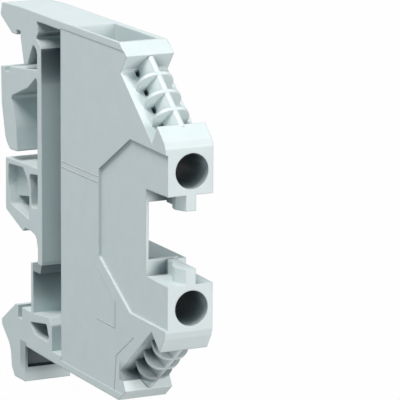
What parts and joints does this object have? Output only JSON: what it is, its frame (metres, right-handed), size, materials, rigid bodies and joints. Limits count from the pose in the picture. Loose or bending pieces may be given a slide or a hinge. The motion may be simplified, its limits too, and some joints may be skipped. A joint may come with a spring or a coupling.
{
  "type": "feed-through terminal block",
  "caption": "Narrow rail-mounted feed-through terminal block with a screw clamp at each end, two screw towers, ribbed marker combs and a sprung clip foot for top-hat or G rail.",
  "frame": {"origin": "on the flange face of the top-hat rail, midway between the rail's edges and midway through the block", "axes": "+X away from the rail, +Y along the rail towards the block's open side, +Z across the rail towards the fixed hook"},
  "size_m": [0.0454, 0.006, 0.0461],
  "materials": {
    "polyamide": "fine satin moulded",
    "tinned_copper": "dull tin plating",
    "plated_steel": "zinc plated",
    "plated_screw": "zinc plated"
  },
  "bodies": {
    "block": {"housing": "polyamide", "current_bar": "tinned_copper"},
    "yoke_upper": {"clamping_yoke_upper": "plated_steel"},
    "yoke_lower": {"clamping_yoke_lower": "plated_steel"},
    "screw_upper": {"clamping_screw_upper": "plated_screw"},
    "screw_lower": {"clamping_screw_lower": "plated_screw"}
  },
  "joints": [
    {"name": "screw_turn_upper", "type": "hinge", "parent": "block", "child": "screw_upper", "pos_m": [0.025, 0.00035, 0.00785], "axis": [-1, 0, 0], "range_deg": [0, 2160]},
    {"name": "yoke_rise_upper", "type": "slide", "parent": "block", "child": "yoke_upper", "axis": [1, 0, 0], "range_m": [0, 0.003]},
    {"name": "screw_turn_lower", "type": "hinge", "parent": "block", "child": "screw_lower", "pos_m": [0.025, 0.00035, -0.00785], "axis": [-1, 0, 0], "range_deg": [0, 2160]},
    {"name": "yoke_rise_lower", "type": "slide", "parent": "block", "child": "yoke_lower", "axis": [1, 0, 0], "range_m": [0, 0.003]}
  ],
  "couplings": [
    {"joint": "screw_turn_upper", "follows": "yoke_rise_upper", "rad_per_m": 12566},
    {"joint": "screw_turn_lower", "follows": "yoke_rise_lower", "rad_per_m": 12566}
  ]
}
